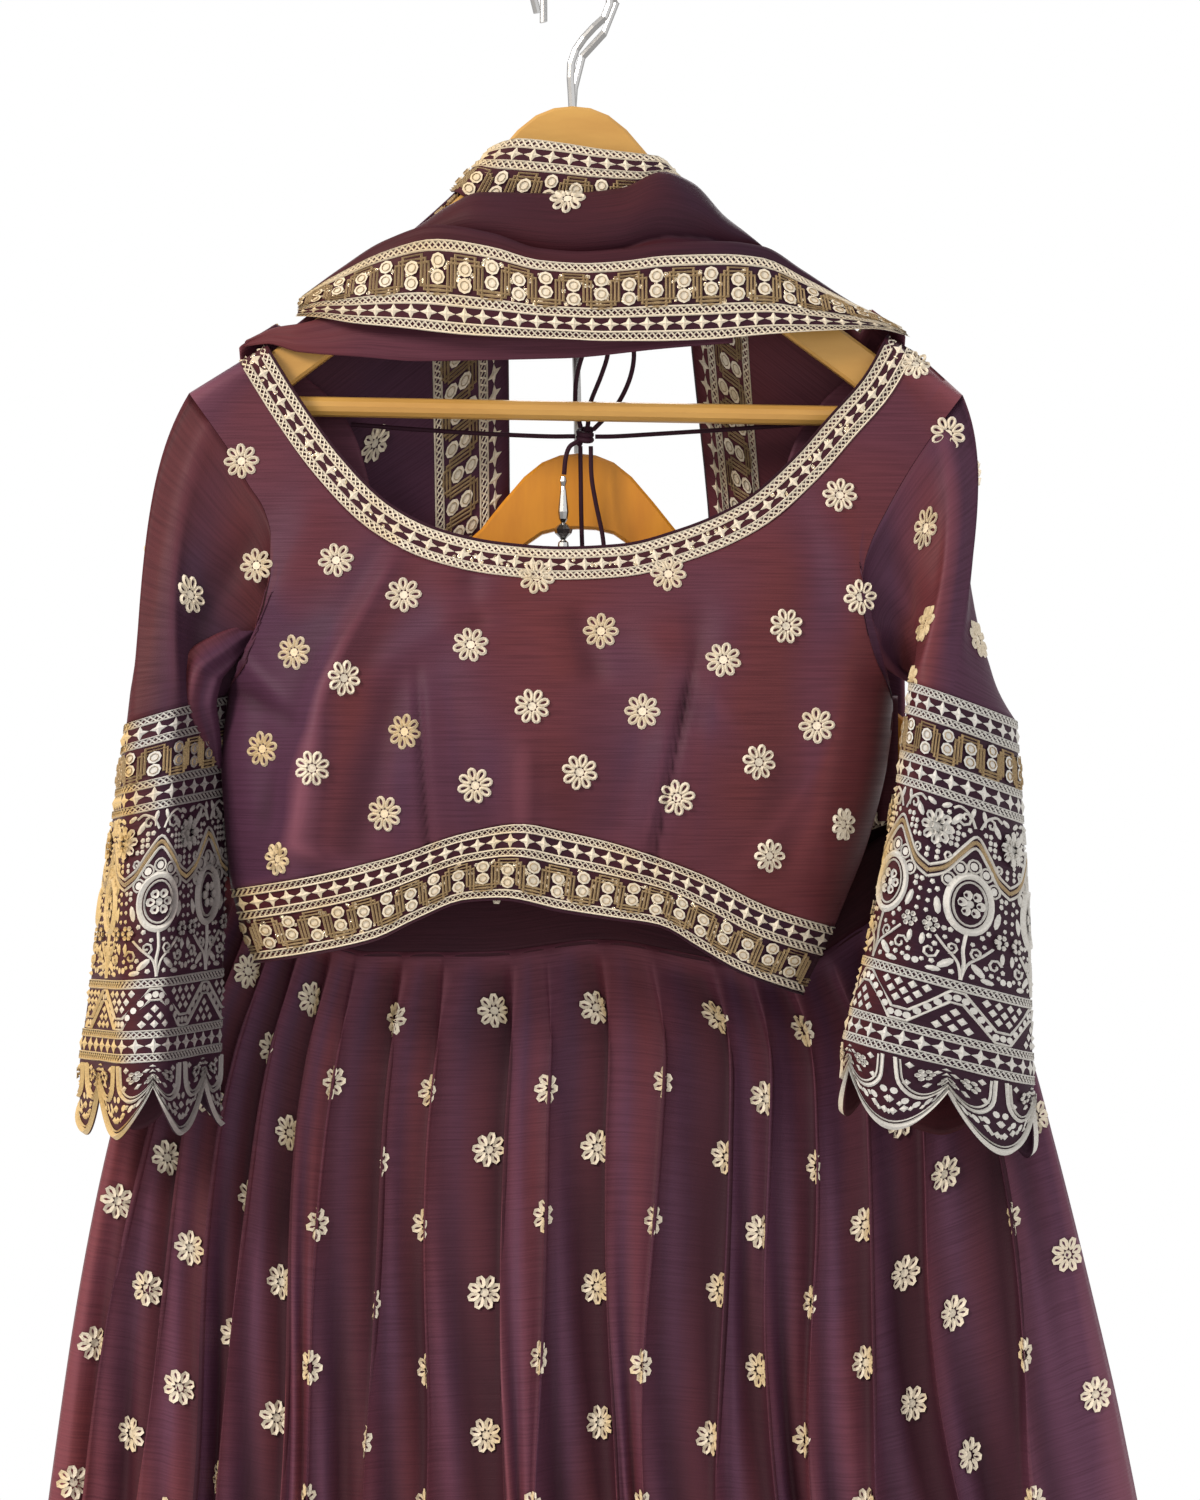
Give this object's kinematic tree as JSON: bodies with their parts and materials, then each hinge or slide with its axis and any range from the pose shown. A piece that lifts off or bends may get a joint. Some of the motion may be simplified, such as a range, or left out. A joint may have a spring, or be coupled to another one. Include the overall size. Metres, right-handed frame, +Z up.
{
  "type": "lehenga set on hangers, held at the top of the blouse hanger's hook",
  "caption": "Embroidered blouse with scalloped sleeves, pleated long skirt and draped scarf, hung on plain wooden hangers.",
  "frame": {"origin": "the point inside the top of the blouse hanger's hook that rests on the rail", "axes": "+Z up, +X to the viewer's right, the front faces -Y"},
  "size_m": [0.786, 0.2722, 1.5495],
  "materials": {
    "silk": "satin",
    "embroidery": "satin",
    "wood": "satin",
    "wood_dark": "satin",
    "hook_metal": "polished",
    "drop_metal": "polished"
  },
  "bodies": {
    "root": {"hanger_wood": "wood", "hanger_bar": "wood", "hanger_hook": "hook_metal", "skirt_hanger_wood": "wood_dark", "skirt_hanger_hook": "hook_metal", "choli_front": "silk", "choli_back": "silk", "neck_border": "embroidery", "hem_border_front": "embroidery", "hem_border_back": "embroidery", "sleeve_left": "silk", "cuff_left": "embroidery", "sleeve_right": "silk", "cuff_right": "embroidery", "dori_left_span": "silk", "dori_left_loop": "silk", "dori_left_tail": "silk", "dori_right_span": "silk", "dori_right_loop": "silk", "dori_right_end": "silk", "dori_knot": "silk", "dori_drop": "drop_metal", "skirt_front": "silk", "skirt_back": "silk", "waistband": "silk", "hanging_tape_left": "silk", "hanging_tape_right": "silk", "dupatta_neck": "silk", "dupatta_folds": "silk", "dupatta_swag": "silk", "dupatta_under": "silk", "dupatta_tail_left": "silk", "dupatta_tail_right": "silk"}
  },
  "joints": []
}
